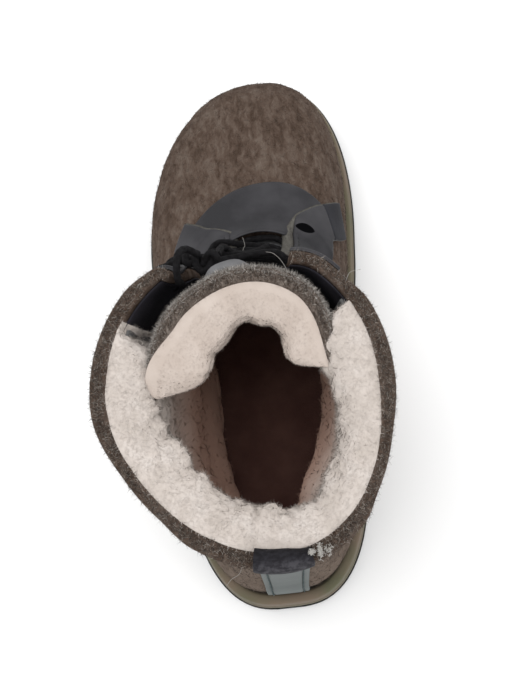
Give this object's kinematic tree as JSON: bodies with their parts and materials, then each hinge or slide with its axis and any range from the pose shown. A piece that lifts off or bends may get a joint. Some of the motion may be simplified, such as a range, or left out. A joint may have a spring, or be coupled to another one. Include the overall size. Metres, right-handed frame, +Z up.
{
  "type": "felt winter boot",
  "caption": "Left felt ankle boot with deep fleece lining, laced throat with leather eyestays, padded tongue, heel pull loop and a lugged moulded sole.",
  "frame": {"origin": "on the floor, under the middle of the boot's length and width", "axes": "+Z up, +Y towards the toe, +X towards the inner (medial) side of the foot"},
  "size_m": [0.1212, 0.2864, 0.196],
  "materials": {
    "outsole_rubber": "matte black moulded rubber",
    "midsole_foam": "matte brown-olive moulded foam",
    "insole_felt": "dark brown felt",
    "upper_felt": "thick mottled grey-brown wool felt",
    "fleece_pile": "deep off-white pile",
    "grey_leather": "dark grey smooth leather, satin",
    "back_leather": "pale grey smooth leather, satin",
    "black_webbing": "woven black tape",
    "black_lace": "round braided black lace"
  },
  "bodies": {
    "root": {"outsole": "outsole_rubber", "midsole": "midsole_foam", "insole": "insole_felt", "upper": "upper_felt", "fleece_lining": "fleece_pile", "tongue": "upper_felt", "tongue_fleece": "fleece_pile", "tongue_cover": "grey_leather", "vamp_moon": "grey_leather", "eyestay_lateral": "grey_leather", "eyestay_medial": "grey_leather", "backstay": "back_leather", "pull_loop": "black_webbing", "lace_bar": "black_lace", "lace_cross_1": "black_lace", "lace_cross_2": "black_lace", "lace_cross_3": "black_lace", "lace_cross_4": "black_lace", "lace_cross_5": "black_lace", "lace_top_lateral": "black_lace", "lace_top_medial": "black_lace", "lace_knot": "black_lace", "lace_end_tucked": "black_lace", "lace_end_front": "black_lace"}
  },
  "joints": []
}
